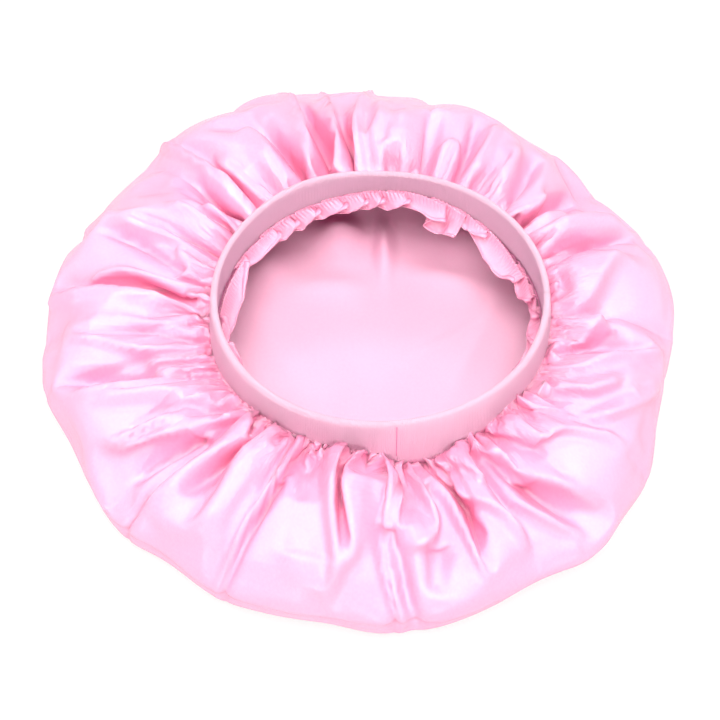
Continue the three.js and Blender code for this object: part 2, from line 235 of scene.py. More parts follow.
# How the cloth relaxes from the folds that it is laid in. The simulation runs ten times as large,
# because Blender's collisions don't go below a millimetre. The gaps and the ground are in that size.
RELAX_SCALE = 10
RELAX_FRAMES = 22
RELAX_GROW_FRAMES = 12
HELD_SHARE = 0.91  # from here on, along the rows, the cloth stays as laid
HELD_WEIGHTS = (0.6, 0.3, 0.15, 0.05)
RELAX_GAP = 0.004
RELAX_GROUND = 6
RELAX_SETTINGS = {
    "use_dynamic_mesh": True, "use_sewing_springs": True, "quality": 6, "mass": 0.3, "air_damping": 2,
    "tension_stiffness": 30, "compression_stiffness": 30, "shear_stiffness": 8, "bending_stiffness": 10,
    "tension_damping": 10, "compression_damping": 10, "shear_damping": 10, "bending_damping": 0.5,
    "use_pressure": True, "uniform_pressure_force": 0.5,
}
RELAX_TOUCH = {
    "distance_min": RELAX_GAP, "self_distance_min": 0.006, "use_self_collision": True,
    "collision_quality": 2,
}
# The slack shape's girths, to those of the smooth cap, at these shares of the way along the rows
SLACK_STATION_SHARES = (0, 0.15, 0.4, 0.62, 0.8, 1)
SLACK_GIRTHS = (1.05, 1.05, 1.04, 1.03, 1.01, 1)
SLACK_LENGTH_SHARE = 0.985  # of the laid cloth's length along each column
LEAST_DROP_SHARE = 0.03  # of that length, how far it goes down at least from row to row

# Outline of the cap from above, in millimetres from the middle, every 10 degrees from +X
OUTLINE = (
    152.5, 158.5, 159.5, 158, 158, 161.5, 161, 170, 174.5,
    178, 181, 186, 183, 181, 175.5, 177.5, 181, 178.5,
    177, 177, 169.5, 169, 170.5, 164, 165.5, 163, 160,
    164.5, 163, 159, 154.5, 161, 157.5, 156, 150, 150,
)

# Main creases of the cap, as degrees at the seam and at the nose. The cloth puffs up between them.
CREASES = (
    (1.1, 0), (19.4, 23.4), (37.4, 40.3), (47.9, 52.6), (64.4, 67), (76.7, 78.8), (97.2, 97.2),
    (106.6, 104.4), (115.6, 117.7), (132.1, 132.1), (141.5, 138.2), (161.6, 157.7), (172.8, 170.6),
    (186.8, 182.5), (198.7, 190.8), (222.1, 216), (229.7, 223.6), (245.9, 241.2), (270.7, 274.3),
    (288, 290.2), (301, 309.6), (322.9, 329), (346.3, 350.6),
)
PUFF_SHARE = 0.12  # rise of the cloth between two creases, as a share of their distance
PUFF_ARCH_POWER = 0.6
PUFF_START_SHARE = 0.3
PUFF_NOSE_SHARE = 0.4  # of the puffs, how much is left at the nose

# Folds of the cap as they lie: height in millimetres (less than zero is a valley), half width in
# millimetres, and the line that each follows, as (share of the way from the seam to the nose, degrees).
FOLDS = (
    (5, 5, ((0.1, 3), (0.25, 4.5), (0.36, 10), (0.5, 15), (0.72, 18))),
    (-4, 5, ((0.1, 10), (0.28, 10))),
    (-6, 2.5, ((0.05, 18.5), (0.3, 20), (0.55, 23), (0.95, 23.6))),
    (5, 7, ((0.05, 26), (0.5, 28), (0.95, 27))),
    (-2.5, 3, ((0.6, 30), (0.85, 30.5))),
    (3, 3, ((0.05, 33), (0.6, 34))),
    (-6, 4, ((0.05, 36.5), (0.4, 37.5), (0.7, 39.5), (0.86, 40.5))),
    (4, 3, ((0.05, 40.5), (0.3, 40.5), (0.55, 42))),
    (-3.5, 4, ((0.05, 45.5), (0.3, 46.5), (0.6, 50), (0.8, 54))),
    (3, 5, ((0.05, 49), (0.4, 53), (0.7, 57))),
    (3, 3.5, ((0.05, 61), (0.5, 62), (0.8, 64))),
    (-3.5, 2, ((0.03, 63.5), (0.4, 65.5), (0.8, 69))),
    (2.5, 2.5, ((0.15, 66.8), (0.3, 68), (0.37, 69.8), (0.3, 72), (0.15, 73))),
    (-2.5, 4, ((0.1, 76), (0.6, 77))),
    (3, 8, ((0.05, 84), (0.6, 84))),
    (3, 3.5, ((0.3, 90.5), (0.5, 88), (0.8, 88))),
    (4, 2.5, ((0.03, 93.8), (0.4, 93), (0.7, 92), (1, 91))),
    (-3, 6, ((0.05, 98), (0.5, 98), (0.95, 96))),
    (5, 2.5, ((0.03, 105), (0.4, 103.3), (0.7, 101.5), (1, 100.3))),
    (-6, 3.5, ((0.03, 107.5), (0.5, 106.5), (0.95, 105))),
    (5, 2.5, ((0.03, 112), (0.4, 110), (0.7, 108.6), (1, 108))),
    (-3.5, 3.5, ((0.1, 115.5), (0.4, 115), (0.68, 115.5))),
    (4, 5, ((0.15, 122.5), (0.45, 121), (0.65, 121.5))),
    (-4, 2.5, ((0.02, 132.5), (0.2, 133), (0.35, 133.5))),
    (2.5, 3, ((0.1, 127.5), (0.3, 130), (0.6, 131.5))),
    (5.5, 2.5, ((0.03, 135.3), (0.2, 136.8), (0.45, 136.8), (0.7, 135), (1, 132.8))),
    (-6, 4, ((0.05, 139), (0.35, 141), (0.65, 142))),
    (4, 3, ((0.03, 143.5), (0.35, 145.5))),
    (-5, 2.5, ((0.03, 147.3), (0.25, 147.6), (0.42, 147.6))),
    (4, 4, ((0.03, 150.5), (0.5, 151))),
    (-4, 3.5, ((0.08, 155), (0.2, 155), (0.36, 154))),
    (3.5, 3, ((0.05, 159.5), (0.3, 159))),
    (-5, 3, ((0.2, 164), (0.3, 163), (0.5, 160), (0.8, 157))),
    (3, 3.5, ((0.5, 157.5), (0.75, 155.5), (1, 155.5))),
    (-4, 4, ((0.03, 167.5), (0.15, 167))),
    (4, 2.5, ((0.05, 170.5), (0.3, 169.5), (0.5, 168.3), (0.66, 169.5), (0.72, 171.5))),
    (-3.5, 4, ((0.1, 173), (0.35, 172.5), (0.6, 172.5))),
    (4.5, 4, ((0.1, 176.5), (0.4, 175.8), (0.7, 173.5), (1, 171.5))),
    (3, 7, ((0.55, 183), (0.8, 182.5), (1, 183))),
    (-5, 4, ((0.02, 188.5), (0.1, 188), (0.3, 186.5), (0.45, 184), (0.6, 181))),
    (4, 2.5, ((0.15, 191.3), (0.4, 189), (0.6, 186), (0.9, 182.5))),
    (4, 8, ((0.05, 195.5), (0.4, 196))),
    (-5, 4, ((0.15, 201), (0.3, 199.5), (0.6, 194), (0.95, 189.8))),
    (3.5, 2.5, ((0.25, 201.2), (0.5, 199.5), (0.9, 195))),
    (5, 4.5, ((0.05, 213), (0.2, 209.8), (0.35, 206), (0.6, 201), (0.85, 196))),
    (-5.5, 3.5, ((0.05, 215.5), (0.2, 215.5), (0.33, 214.8))),
    (4, 2, ((0.35, 213.5), (0.6, 210.3), (0.82, 208.8))),
    (4, 2, ((0.1, 219.5), (0.35, 217.5), (0.6, 213), (0.82, 209.6))),
    (-4, 4, ((0.35, 220.5), (0.6, 218), (0.9, 216))),
    (-5, 1.8, ((0.03, 221.5), (0.2, 222), (0.5, 221.9), (1, 221.4))),
    (5, 4.5, ((0.05, 226), (0.3, 225.5), (0.6, 224), (1, 223.5))),
    (-4, 2.5, ((0.05, 231), (0.3, 229.5), (0.5, 228), (0.72, 226))),
    (5, 9, ((0.05, 235), (0.3, 235), (0.6, 235), (0.95, 234))),
    (4, 2, ((0.03, 243.8), (0.3, 243.6), (0.6, 242), (1, 241))),
    (-6, 4, ((0.02, 246), (0.35, 246))),
    (-3.5, 2.5, ((0.3, 244.5), (0.6, 243.4), (1, 242.3))),
    (-6, 6, ((0.02, 251.5), (0.3, 251.5), (0.45, 251))),
    (3, 2, ((0.05, 248.7), (0.25, 248.5))),
    (5.5, 4, ((0.05, 254.6), (0.35, 257), (0.7, 261.5), (0.95, 260))),
    (3, 10, ((0.7, 255), (1, 256))),
    (-4, 4, ((0.05, 260.5), (0.2, 260.5), (0.4, 259.5))),
    (4.5, 4, ((0.05, 265), (0.5, 265), (0.8, 264))),
    (-5, 2, ((0.03, 267.6), (0.3, 268.2), (0.6, 269), (1, 272.3))),
    (-5, 4, ((0.5, 270), (0.7, 272.5), (1, 276))),
    (-5, 4, ((0.03, 274.5), (0.3, 275.5), (0.5, 275))),
    (5, 3, ((0.08, 279.5), (0.3, 280.3), (0.45, 280.3), (0.55, 278), (0.6, 275), (0.6, 272.5))),
    (-3.5, 7, ((0.6, 281), (0.9, 280))),
    (5.5, 2, ((0.03, 281.3), (0.35, 285), (0.65, 287.8), (0.95, 290))),
    (-6, 3.5, ((0.03, 285), (0.3, 287.5), (0.5, 290), (0.7, 291))),
    (5, 2.5, ((0.1, 288), (0.3, 290.5), (0.5, 296), (0.7, 298.5), (0.95, 299.7))),
    (3, 2, ((0.05, 291), (0.15, 294.5), (0.3, 297.5), (0.4, 297.5))),
    (-4, 5, ((0.1, 302), (0.4, 303), (0.6, 304))),
    (5, 3, ((0.12, 301), (0.25, 306), (0.4, 309), (0.6, 313), (0.9, 315.5))),
    (4, 2.5, ((0.5, 300.5), (0.75, 306), (0.95, 311))),
    (-4.5, 5, ((0.45, 306.5), (0.65, 309), (0.9, 312.5))),
    (-5, 4, ((0.02, 309), (0.2, 311), (0.4, 313.5))),
    (2.5, 2, ((0.05, 312), (0.18, 313), (0.25, 315), (0.2, 317.5), (0.1, 318))),
    (5, 3, ((0.2, 313), (0.28, 317), (0.36, 322.5), (0.6, 326.8), (0.85, 328.4))),
    (-5, 4, ((0.05, 321), (0.2, 323), (0.4, 326), (0.55, 332))),
    (4.5, 3.5, ((0.05, 331.5), (0.3, 334), (0.45, 338), (0.55, 341.5))),
    (4, 3, ((0.3, 323.5), (0.5, 330), (0.75, 341), (0.95, 350))),
    (4, 3, ((0.1, 337.5), (0.2, 340), (0.5, 347), (0.75, 352), (0.95, 357))),
    (-4.5, 5, ((0.1, 343), (0.3, 350), (0.6, 357))),
    (4.5, 3.5, ((0.05, 346.5), (0.25, 355), (0.42, 359.5))),
)


def linked(obj):
    bpy.context.scene.collection.objects.link(obj)
    return obj


def new_piece(name, points, faces):
    """A smooth piece of the bonnet from its mesh"""
    mesh = bpy.data.meshes.new(name)
    mesh.from_pydata(points.tolist(), [], faces)
    mesh.validate()
    mesh.update()
    for face in mesh.polygons:
        face.use_smooth = True
    return linked(bpy.data.objects.new(name, mesh))


def seam_radius(turns):
    half_width = BAND_HALF_WIDTH + BAND_LEAN
    half_depth = BAND_HALF_DEPTH + BAND_LEAN
    return 1 / np.sqrt((np.cos(turns) / half_width) ** 2 + (np.sin(turns) / half_depth) ** 2)


def edge_height(table, turns):
    """Height of one of the band's edges, from its table"""
    degrees, heights = np.array(table, float).T
    total = np.zeros_like(turns)
    shifts = np.linspace(-EDGE_EASE, EDGE_EASE, EDGE_EASE_STEPS)
    for shift in shifts:
        total += np.interp(np.degrees(turns + shift) % 360, degrees, heights, period=360)
    return total / len(shifts) * MM


def oval_point(turns, off, height):
    """Points that stand off the band's outer oval"""
    cos, sin = np.cos(turns), np.sin(turns)
    on = np.stack([BAND_HALF_WIDTH * cos, BAND_HALF_DEPTH * sin], -1)
    out = np.stack([BAND_HALF_DEPTH * cos, BAND_HALF_WIDTH * sin], -1)
    out /= np.linalg.norm(out, axis=-1, keepdims=True)
    flat = on + out * np.asarray(off)[..., None]
    return np.concatenate([flat, np.broadcast_to(height, flat.shape[:-1])[..., None]], -1)


def curve_point(a, b, c, d, share):
    """Point on the smooth curve from b to c, which comes from a and goes on to d"""
    straight = (c - a) * share
    bend = (2 * a - 5 * b + 4 * c - d) * share**2
    twist = (3 * b - a - 3 * c + d) * share**3
    return 0.5 * (2 * b + straight + bend + twist)


def outline_radius(turns):
    """Radius of the cap's outline, on a smooth closed curve through its table"""
    values = np.array(OUTLINE[-2:] + OUTLINE + OUTLINE[:3]) * MM
    place = np.degrees(turns) % 360 / (360 / len(OUTLINE)) + 2
    i = np.floor(place).astype(int)
    return curve_point(values[i - 1], values[i], values[i + 1], values[i + 2], place - i)


def cap_profile(turns, row_shares):
    """Radius and height of the smooth cap. row_shares run from 0 at the seam to 1 under the nose."""
    slope = np.linspace(0, 1, SLOPE_STEPS)
    start = seam_radius(turns)[:, None]
    end = outline_radius(turns)[:, None]
    nose_in = NOSE_RADIUS * (1 - math.sin(NOSE_START))
    nose_top = NOSE_RADIUS * (1 + math.cos(NOSE_START))
    radius = start + (end - nose_in - start) * slope
    seam = edge_height(SEAM_HEIGHTS, turns)[:, None]
    height = seam + (nose_top - seam) * slope**2 + SLOPE_BELLY * np.sin(np.pi * slope)
    bend = np.linspace(NOSE_START, math.pi, NOSE_STEPS)[1:]
    nose_height = np.broadcast_to(NOSE_RADIUS * (1 + np.cos(bend)), (len(turns), len(bend)))
    radius = np.hstack([radius, end - NOSE_RADIUS * (1 - np.sin(bend))])
    height = np.hstack([height, nose_height])
    steps = np.hypot(np.diff(radius), np.diff(height))
    length = np.hstack([np.zeros((len(turns), 1)), np.cumsum(steps, 1)])
    row_radius = np.empty((len(turns), len(row_shares)))
    row_height = np.empty_like(row_radius)
    for i in range(len(turns)):
        at = row_shares * length[i, -1]
        row_radius[i] = np.interp(at, length[i], radius[i])
        row_height[i] = np.interp(at, length[i], height[i])
    return row_radius.T, row_height.T


def fold_line(path):
    """Shares and degrees of the points of a fold's line, evenly along it"""
    given = np.array(path, float)
    even = np.linspace(0, 1, FOLD_LINE_POINTS)
    if len(given) < 3:
        ends = np.linspace(0, 1, len(given))
        return np.interp(even, ends, given[:, 0]), np.interp(even, ends, given[:, 1])
    points = np.vstack([2 * given[0] - given[1], given, 2 * given[-1] - given[-2]])
    place = even * (len(given) - 1) + 1
    i = np.minimum(place.astype(int), len(given) - 1)
    line = curve_point(points[i - 1], points[i], points[i + 1], points[i + 2], (place - i)[:, None])
    return line[:, 0], line[:, 1]


def fold_heights(turns, radius):
    """Height of the folds over the smooth cap at each point of the grid"""
    height = np.zeros_like(radius)
    xs = radius * np.cos(turns)
    ys = radius * np.sin(turns)
    for rise, half_width, path in FOLDS:
        shares, degrees = fold_line(path)
        angles = np.radians(degrees)
        inner = seam_radius(angles)
        line_radius = inner + (outline_radius(angles) - inner) * shares
        line_x, line_y = line_radius * np.cos(angles), line_radius * np.sin(angles)
        near = np.abs((np.degrees(turns) - degrees.mean() + 180) % 360 - 180) < FOLD_REACH_DEGREES
        x, y = xs[:, near], ys[:, near]
        distance = np.full(x.shape, np.inf)
        place = np.zeros(x.shape)
        parts = FOLD_LINE_POINTS - 1
        for k in range(parts):
            dx, dy = line_x[k + 1] - line_x[k], line_y[k + 1] - line_y[k]
            along = ((x - line_x[k]) * dx + (y - line_y[k]) * dy) / max(dx * dx + dy * dy, TINY)
            along = np.clip(along, 0, 1)
            away = np.hypot(x - line_x[k] - along * dx, y - line_y[k] - along * dy)
            closer = away < distance
            distance[closer] = away[closer]
            place[closer] = ((k + along) / parts)[closer]
        start = eased(place / FOLD_RISE_SHARE) if path[0][0] > SEAM_FOLD_SHARE else 1
        end = eased((1 - place) / FOLD_END_SHARE) if path[-1][0] < NOSE_FOLD_SHARE else 1
        fall = 1 - FOLD_FALL_SHARE * place
        height[:, near] += rise * MM * start * end * fall * np.exp(-((distance / (half_width * MM)) ** 2))
    return height


def unit(vectors):
    return vectors / np.linalg.norm(vectors, axis=-1, keepdims=True)


def grid_normals(grid):
    """Outward normals of a grid whose rows close on themselves"""
    return unit(np.cross(np.gradient(grid, axis=0), np.roll(grid, -1, 1) - np.roll(grid, 1, 1)))


def eased(value):
    """Runs smoothly from 0 to 1"""
    value = np.clip(value, 0, 1)
    return value * value * (3 - 2 * value)


def wobble(turns, waves, seed):
    """A smooth irregular wave round a turn, within about one each way"""
    rng = np.random.default_rng(seed)
    total = np.zeros_like(turns)
    for wave in waves:
        total += rng.uniform(*WOBBLE_HEIGHTS) * np.cos(wave * turns + rng.uniform(0, TURN))
    return total / len(waves)


def puff_heights(turns, radius, share):
    """Height of the puffs between the main creases at each point of the grid"""
    out = np.clip(share, 0, 1)
    strength = np.clip(out / PUFF_START_SHARE, 0, 1) * (1 - (1 - PUFF_NOSE_SHARE) * out)
    height = np.zeros_like(radius)
    for (seam, nose), (next_seam, next_nose) in zip(CREASES, CREASES[1:] + CREASES[:1]):
        start = seam + (nose - seam) * out
        width = (next_seam - seam) % 360 * (1 - out) + (next_nose - nose) % 360 * out
        across = (np.degrees(turns) - start) % 360 / width
        inside = across < 1
        arch = (4 * across * (1 - across))[inside] ** PUFF_ARCH_POWER
        height[inside] += PUFF_SHARE * (np.radians(width) * radius * strength)[inside] * arch
    return height


def laid_cap():
    """The smooth cap and the cap with its folds laid in, from the seam to under the nose"""
    turns = np.arange(COLUMNS) * TURN / COLUMNS
    radius, height = cap_profile(turns, np.linspace(0, 1, TOP_ROWS))
    smooth = np.stack([radius * np.cos(turns), radius * np.sin(turns), height], -1)
    start, end = seam_radius(turns), outline_radius(turns)
    share = (radius - start) / (end - start)
    rise = FOLD_STRENGTH * fold_heights(turns, radius)
    rise *= FOLD_START_SHARE + (1 - FOLD_START_SHARE) * eased(share / FOLD_FULL_SHARE)
    rise += puff_heights(turns, radius, share)
    rise *= eased(share / SEAM_HOLD_SHARE)
    near_nose = eased((share - NOSE_HOLD_START_SHARE) / (1 - NOSE_HOLD_START_SHARE))
    rise *= np.where(rise > 0, 1 - NOSE_HOLD_SHARE * near_nose, 1)
    past_nose = (np.arange(TOP_ROWS)[:, None] - np.argmax(radius, 0)) / TOP_ROWS
    rise *= eased((NOSE_FADE_SHARES[1] - past_nose) / (NOSE_FADE_SHARES[1] - NOSE_FADE_SHARES[0]))
    phase = GATHER_DRIFT * wobble(turns, *GATHER_WAVES)
    fade = np.exp(-np.clip(share - GATHER_START_SHARE, 0, 1) / GATHER_REACH_SHARE)
    fade = np.clip(share / GATHER_START_SHARE, 0, 1) * fade
    rise += GATHER_DEPTH * np.cos(GATHERS * turns + phase) * fade
    return turns, smooth, smooth + grid_normals(smooth) * rise[..., None], rise


def slack_shape(turns, smooth, laid, rise):
    """A shape with the cloth's own lengths: a little wider round than it lies, and a little shorter"""
    stations = np.linspace(0, 1, TOP_ROWS)
    slack = np.interp(stations, SLACK_STATION_SHARES, SLACK_GIRTHS)[:, None]
    free = int(HELD_SHARE * TOP_ROWS) - len(HELD_WEIGHTS)
    radius = slack * (np.hypot(smooth[..., 0], smooth[..., 1]) + rise)
    height = laid[..., 2].copy()
    radius[free:] = np.hypot(laid[free:, :, 0], laid[free:, :, 1])
    length = np.linalg.norm(np.diff(laid, axis=0), axis=-1) * SLACK_LENGTH_SHARE
    for row in range(free - 1, -1, -1):
        step = radius[row] - radius[row + 1]
        drop = np.sqrt(np.maximum(length[row] ** 2 - step**2, (LEAST_DROP_SHARE * length[row]) ** 2))
        height[row] = height[row + 1] + drop
    return np.stack([radius * np.cos(turns), radius * np.sin(turns), height], -1)


def with_crown(top):
    """Adds the crown's rows, which lie on the surface in low waves, inside the last row of the top"""
    crown = top[-1] * np.array(CROWN_SHARES)[:, None, None]
    crown[..., 2] = CLOTH_THICKNESS
    for x, y, half_length, half_width, degrees, height in CROWN_WAVES:
        angle = math.radians(degrees)
        from_x, from_y = crown[..., 0] - x * MM, crown[..., 1] - y * MM
        along = (from_x * math.cos(angle) + from_y * math.sin(angle)) / (half_length * MM)
        across = (from_y * math.cos(angle) - from_x * math.sin(angle)) / (half_width * MM)
        crown[..., 2] += height * MM * np.exp(-(along**2) - across**2)
    return np.concatenate([top, crown])


def grid_faces(rows, columns):
    """Faces of a grid whose rows close on themselves"""
    row, column = np.meshgrid(np.arange(rows - 1), np.arange(columns), indexing="ij")
    here, below = row * columns, (row + 1) * columns
    after = (column + 1) % columns
    corners = (here + column, below + column, below + after, here + after)
    return np.stack(corners, -1).reshape(-1, 4).tolist()


def lay_out(obj, flat):
    """Stores where each point lies on the flat cloth, in metres, as the UV map that the materials read"""
    layer = obj.data.uv_layers.new(name="cloth")
    corners = np.empty(len(obj.data.loops), int)
    obj.data.loops.foreach_get("vertex_index", corners)
    layer.data.foreach_set("uv", np.asarray(flat)[corners].ravel())


def closing_fan(rows, columns):
    """Faces from the last row to a point in its middle"""
    last = (rows - 1) * columns
    return [(last + c, rows * columns, last + (c + 1) % columns) for c in range(columns)]


def relaxed(laid, slack):
    """Lets the laid cloth settle into the slack shape's lengths with Blender's Cloth"""
    rows = len(laid)
    crown_middle = [[0, 0, CLOTH_THICKNESS]]
    points = np.vstack([laid.reshape(-1, 3), crown_middle, laid[0]]) * RELAX_SCALE
    rest = np.vstack([slack.reshape(-1, 3), crown_middle, laid[0]]) * RELAX_SCALE
    seam = rows * COLUMNS + 1
    stitches = [(c, seam + c) for c in range(COLUMNS)]
    mesh = bpy.data.meshes.new("cap_in_cloth")
    mesh.from_pydata(points.tolist(), stitches, grid_faces(rows, COLUMNS) + closing_fan(rows, COLUMNS))
    cap = linked(bpy.data.objects.new("cap_in_cloth", mesh))
    cap.shape_key_add(name="laid")
    key = cap.shape_key_add(name="slack")
    key.data.foreach_set("co", rest.ravel())
    for frame_number, value in ((1, 0), (RELAX_GROW_FRAMES, 1)):
        key.value = value
        key.keyframe_insert("value", frame=frame_number)
    held = cap.vertex_groups.new(name="held")
    first = int(HELD_SHARE * TOP_ROWS)
    held.add(list(range(first * COLUMNS, seam + COLUMNS)), 1, "REPLACE")
    for back, weight in enumerate(HELD_WEIGHTS, 1):
        row = first - back
        held.add(list(range(row * COLUMNS, (row + 1) * COLUMNS)), weight, "REPLACE")
    cloth = cap.modifiers.new("cloth", "CLOTH")
    cloth.settings.vertex_group_mass = "held"
    cloth.settings.effector_weights.gravity = 0
    for setting, value in RELAX_SETTINGS.items():
        setattr(cloth.settings, setting, value)
    for setting, value in RELAX_TOUCH.items():
        setattr(cloth.collision_settings, setting, value)
    bpy.ops.object.select_all(action="DESELECT")
    bpy.ops.mesh.primitive_plane_add(size=RELAX_GROUND)
    ground = bpy.context.object
    ground.modifiers.new("ground", "COLLISION")
    ground.collision.thickness_outer = RELAX_GAP
    cloth.point_cache.frame_start, cloth.point_cache.frame_end = 1, RELAX_FRAMES
    for number in range(1, RELAX_FRAMES + 1):
        bpy.context.scene.frame_set(number)
    settled = cap.evaluated_get(bpy.context.evaluated_depsgraph_get()).to_mesh()
    result = np.empty(len(points) * 3)
    settled.vertices.foreach_get("co", result)
    bpy.data.objects.remove(cap)
    bpy.data.objects.remove(ground)
    bpy.context.scene.frame_set(1)
    return result.reshape(-1, 3)[: rows * COLUMNS].reshape(rows, COLUMNS, 3) / RELAX_SCALE


def finer_rows(grid):
    """Doubles the rows with a smooth curve through them"""
    ends = np.concatenate([2 * grid[:1] - grid[1:2], grid, 2 * grid[-1:] - grid[-2:-1]])
    between = (9 * (ends[1:-2] + ends[2:-1]) - ends[:-3] - ends[3:]) / 16
    finer = np.empty((2 * len(grid) - 1, *grid.shape[1:]))
    finer[::2], finer[1::2] = grid, between
    return finer


def with_sewn_edge(grid, turns):
    """Adds the row that is sewn on inside the band's cover, above the first row"""
    height = edge_height(SEAM_HEIGHTS, turns) + SEWN_EDGE_RISE
    return np.concatenate([oval_point(turns, BAND_LEAN - SEWN_EDGE_DEPTH, height)[None], grid])


def satin_cap():
    """The satin from the sewn edge over the slope and the outer edge to the middle of the crown"""
    turns, smooth, laid, rise = laid_cap()
    grid = with_crown(laid)
    slack = slack_shape(turns, smooth, laid, rise)
    grid = relaxed(grid, np.concatenate([slack, grid[TOP_ROWS:]]))
    grid = with_sewn_edge(np.concatenate([finer_rows(grid[:TOP_ROWS]), grid[TOP_ROWS:]]), turns)
    rows = len(grid)
    points = np.vstack([grid.reshape(-1, 3), [[0, 0, CLOTH_THICKNESS]]])
    cap = new_piece("satin_cap_cloth", points, grid_faces(rows, COLUMNS) + closing_fan(rows, COLUMNS))
    spoke = np.vstack([grid[:, 0], [[0, 0, 0]]])
    from_seam = np.concatenate([[0], np.cumsum(np.linalg.norm(np.diff(spoke, axis=0), axis=-1))])
    from_middle = (from_seam[-1] - from_seam)[:-1, None, None]
    flat = from_middle * np.stack([np.cos(turns), np.sin(turns)], -1)
    lay_out(cap, np.vstack([flat.reshape(-1, 2), [[0, 0]]]))
    return cap


def hem_folds():
    """The folds of the hem: those that show, and seeded ones where the rim hides them"""
    rng = np.random.default_rng(HEM_HIDDEN_SEED)
    widths = rng.uniform(*HEM_HIDDEN_WIDTHS, HEM_HIDDEN_FOLDS)
    widths *= (HEM_LAST_DEGREES + 360 - HEM_FOLDS[0][0]) / widths.sum()
    start = HEM_LAST_DEGREES
    hidden = []
    for width in widths:
        length = rng.uniform(*HEM_HIDDEN_LENGTHS)
        lean = rng.uniform(*HEM_HIDDEN_LEANS)
        roundness = rng.uniform(*HEM_HIDDEN_ROUNDNESS)
        hidden.append((start, HEM_HIDDEN_START_SHARE * length, length, HEM_HIDDEN_ANGLE, lean, roundness))
        start -= width
    return [*HEM_FOLDS, *hidden]


def hem_way():
    """Even steps along the hem's cloth, and at each: degrees round, lift, length, angle and lean"""
    folds = hem_folds()
    per_degree = (BAND_HALF_WIDTH + BAND_HALF_DEPTH) / 2 * math.pi / 180
    corners = []
    for fold, after in zip(folds, folds[1:] + [(folds[0][0] - 360, *folds[0][1:])]):
        start, first_length, last_length, angle, lean, roundness = fold
        width = (start - after[0]) * per_degree
        tuck, lap = min(HEM_TUCK, HEM_TUCK_SHARE * width), min(HEM_LAP, HEM_LAP_SHARE * width)
        for share, tuck_share, lap_share, lift, length_share in FOLD_WAY:
            along = share * width + tuck_share * tuck + lap_share * lap
            place = np.clip(along / width, 0, 1)
            length = (first_length + (last_length - first_length) * place) * length_share
            corner = 1 - roundness * abs(2 * place - 1) ** HEM_CORNER_POWER
            corners.append((start - along / per_degree, lift, length * corner, angle, lean))
    corners = np.array(corners)
    closed = np.vstack([corners, corners[0] - [360, 0, 0, 0, 0]])
    steps = np.hypot(np.diff(closed[:, 0]) * per_degree, np.diff(closed[:, 1]) * MM)
    way = np.concatenate([[0], np.cumsum(steps)])
    count = int(way[-1] / HEM_STEP)
    at = np.arange(count) * way[-1] / count
    values = np.stack([np.interp(at, way, column) for column in closed.T])
    trend = -360 * at / way[-1]
    values[0] -= trend
    shifts = range(-HEM_SMOOTH_STEPS, HEM_SMOOTH_STEPS + 1)
    kernel = np.exp(-((np.array(shifts) / HEM_SMOOTH_WIDTH) ** 2))
    kernel /= kernel.sum()
    values = sum(k * np.roll(values, shift, 1) for k, shift in zip(kernel, shifts))
    values[0] += trend
    return at, values


def turned_hem():
    """The satin's free edge inside the band, in flat folds that lie over each other"""
    along, (degrees, lift, length, angle, lean) = hem_way()
    around = along / (along[-1] + HEM_STEP) * TURN
    down = np.linspace(0, 1, HEM_ROWS)[:, None]
    end_angle = np.radians(angle) + HEM_ANGLE_UNEVENNESS * wobble(around, *HEM_ANGLE_WAVES)
    slope = HEM_START_ANGLE + (end_angle - HEM_START_ANGLE) * down**HEM_BEND_POWER
    slope = slope - HEM_CURL * down**HEM_CURL_POWER
    length = length * MM * (1 + HEM_LENGTH_UNEVENNESS * wobble(around, *HEM_LENGTH_WAVES))
    step = length / (HEM_ROWS - 1)
    inward = np.vstack([np.zeros_like(along), np.cumsum(step * np.cos(slope[1:]), 0)])
    drop = np.vstack([np.zeros_like(along), np.cumsum(step * np.sin(slope[1:]), 0)])
    drift = HEM_GATHER_DRIFT * wobble(around, *HEM_DRIFT_WAVES)
    gathers = np.cos(TURN * along / HEM_GATHER_PITCH + drift)
    uneven = 1 + HEM_GATHER_UNEVENNESS * wobble(around, *HEM_GATHER_WAVES)
    reach = np.exp(-((down / HEM_GATHER_REACH_SHARE) ** 2))
    rise = lift * MM * (HEM_LIFT_SHARE + HEM_LIFT_GROWTH_SHARE * down)
    rise = rise + HEM_GATHER * gathers * uneven * reach
    ripple = HEM_RIPPLE * np.sin(math.pi * down**HEM_RIPPLE_POWER * HEM_RIPPLE_REACH_SHARE)
    rise += ripple * wobble(around, *HEM_RIPPLE_WAVES)
    turns = np.radians(degrees) - lean * MM * down / BAND_HALF_WIDTH
    off = BAND_LEAN / 2 - BAND_THICKNESS - HEM_CLEARANCE - inward - rise * np.sin(slope)
    height = edge_height(STITCH_HEIGHTS, turns) - drop + rise * np.cos(slope)
    grid = oval_point(turns, off, height)
    hem = new_piece("turned_hem_cloth", grid.reshape(-1, 3), grid_faces(*grid.shape[:2]))
    from_middle = CUT_RADIUS - length * (1 - down)
    flat = from_middle[..., None] * np.stack([np.cos(around), np.sin(around)], -1)
    lay_out(hem, flat.reshape(-1, 2))
    return hem


def band_lean(height):
    """How far the band's walls stand out from its oval at a height"""
    return BAND_LEAN * (RIM_HEIGHT - height) / (RIM_HEIGHT - SEAM_HEIGHT)


